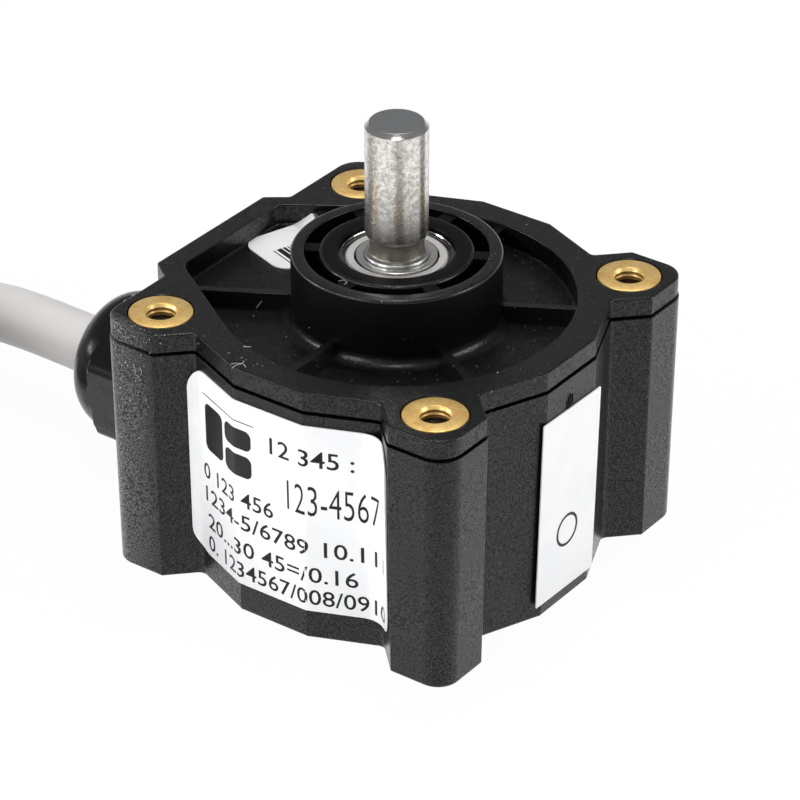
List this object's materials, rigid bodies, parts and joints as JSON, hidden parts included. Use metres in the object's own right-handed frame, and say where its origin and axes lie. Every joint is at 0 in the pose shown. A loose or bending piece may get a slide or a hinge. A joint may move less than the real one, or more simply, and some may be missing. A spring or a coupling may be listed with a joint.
{
  "type": "incremental rotary encoder",
  "caption": "Square-flanged incremental rotary encoder with a round pilot boss, a solid shaft on shielded ball bearings and a side cable gland with a loose cable.",
  "frame": {"origin": "on the shaft axis, at the flat base of the case", "axes": "+Z along the shaft towards its free end, -X towards the cable gland"},
  "size_m": [0.1302, 0.091, 0.045],
  "materials": {
    "case_plastic": "black glass-filled plastic, fine grained, satin",
    "nylon": "smooth black nylon, glossy on its dome",
    "rubber": "matt black rubber",
    "brass": "turned yellow brass",
    "steel": "satin stainless steel, faint turning lines",
    "ball_steel": "polished steel balls",
    "alloy": "turned aluminium",
    "coded_glass": "clear disc with printed tracks",
    "laminate": "green circuit board lacquer",
    "chip_resin": "black moulded chip resin",
    "white_plastic": "off-white moulded plastic",
    "sheath": "light grey cable sheath, smooth satin",
    "label_film": "white label film, satin"
  },
  "bodies": {
    "case": {"housing_shell": "case_plastic", "flange_cover": "case_plastic", "case_seal": "rubber", "threaded_insert_1": "brass", "threaded_insert_2": "brass", "threaded_insert_3": "brass", "threaded_insert_4": "brass", "case_screw_1": "steel", "case_screw_2": "steel", "case_screw_3": "steel", "case_screw_4": "steel", "front_outer_ring": "steel", "front_shield_top": "steel", "front_shield_bottom": "steel", "rear_outer_ring": "steel", "rear_shield_top": "steel", "rear_shield_bottom": "steel", "wave_washer": "steel", "bore_clip": "steel", "circuit_board": "laminate", "board_screw_1": "steel", "board_screw_2": "steel", "board_screw_3": "steel", "sensor_chip": "chip_resin", "reticle": "coded_glass", "led_emitter": "white_plastic", "led_holder": "case_plastic", "driver_chip": "chip_resin", "capacitor": "alloy", "wire_connector": "white_plastic", "gland_body": "nylon", "gland_seal": "rubber", "gland_nut": "nylon", "cable_tube": "sheath", "cable_coil": "sheath", "type_label": "label_film", "side_label": "label_film", "recess_label": "label_film"},
    "rotor": {"shaft": "steel", "front_inner_ring": "steel", "rear_inner_ring": "steel", "spacer_sleeve": "steel", "shaft_clip": "steel", "disc_hub": "alloy", "hub_screw": "steel", "code_disc": "coded_glass"},
    "front_ball_set": {"front_cage": "brass", "front_ball_1": "ball_steel", "front_ball_2": "ball_steel", "front_ball_3": "ball_steel", "front_ball_4": "ball_steel", "front_ball_5": "ball_steel", "front_ball_6": "ball_steel"},
    "rear_ball_set": {"rear_cage": "brass", "rear_ball_1": "ball_steel", "rear_ball_2": "ball_steel", "rear_ball_3": "ball_steel", "rear_ball_4": "ball_steel", "rear_ball_5": "ball_steel", "rear_ball_6": "ball_steel"}
  },
  "joints": [
    {"name": "shaft_spin", "type": "hinge", "parent": "case", "child": "rotor", "pos_m": [0, 0, 0], "axis": [0, 0, 1], "continuous": true},
    {"name": "front_cage_spin", "type": "hinge", "parent": "case", "child": "front_ball_set", "pos_m": [0, 0, 0], "axis": [0, 0, 1], "continuous": true},
    {"name": "rear_cage_spin", "type": "hinge", "parent": "case", "child": "rear_ball_set", "pos_m": [0, 0, 0], "axis": [0, 0, 1], "continuous": true}
  ],
  "couplings": [
    {"joint": "front_cage_spin", "follows": "shaft_spin", "ratio": 0.4122},
    {"joint": "rear_cage_spin", "follows": "shaft_spin", "ratio": 0.4122}
  ]
}
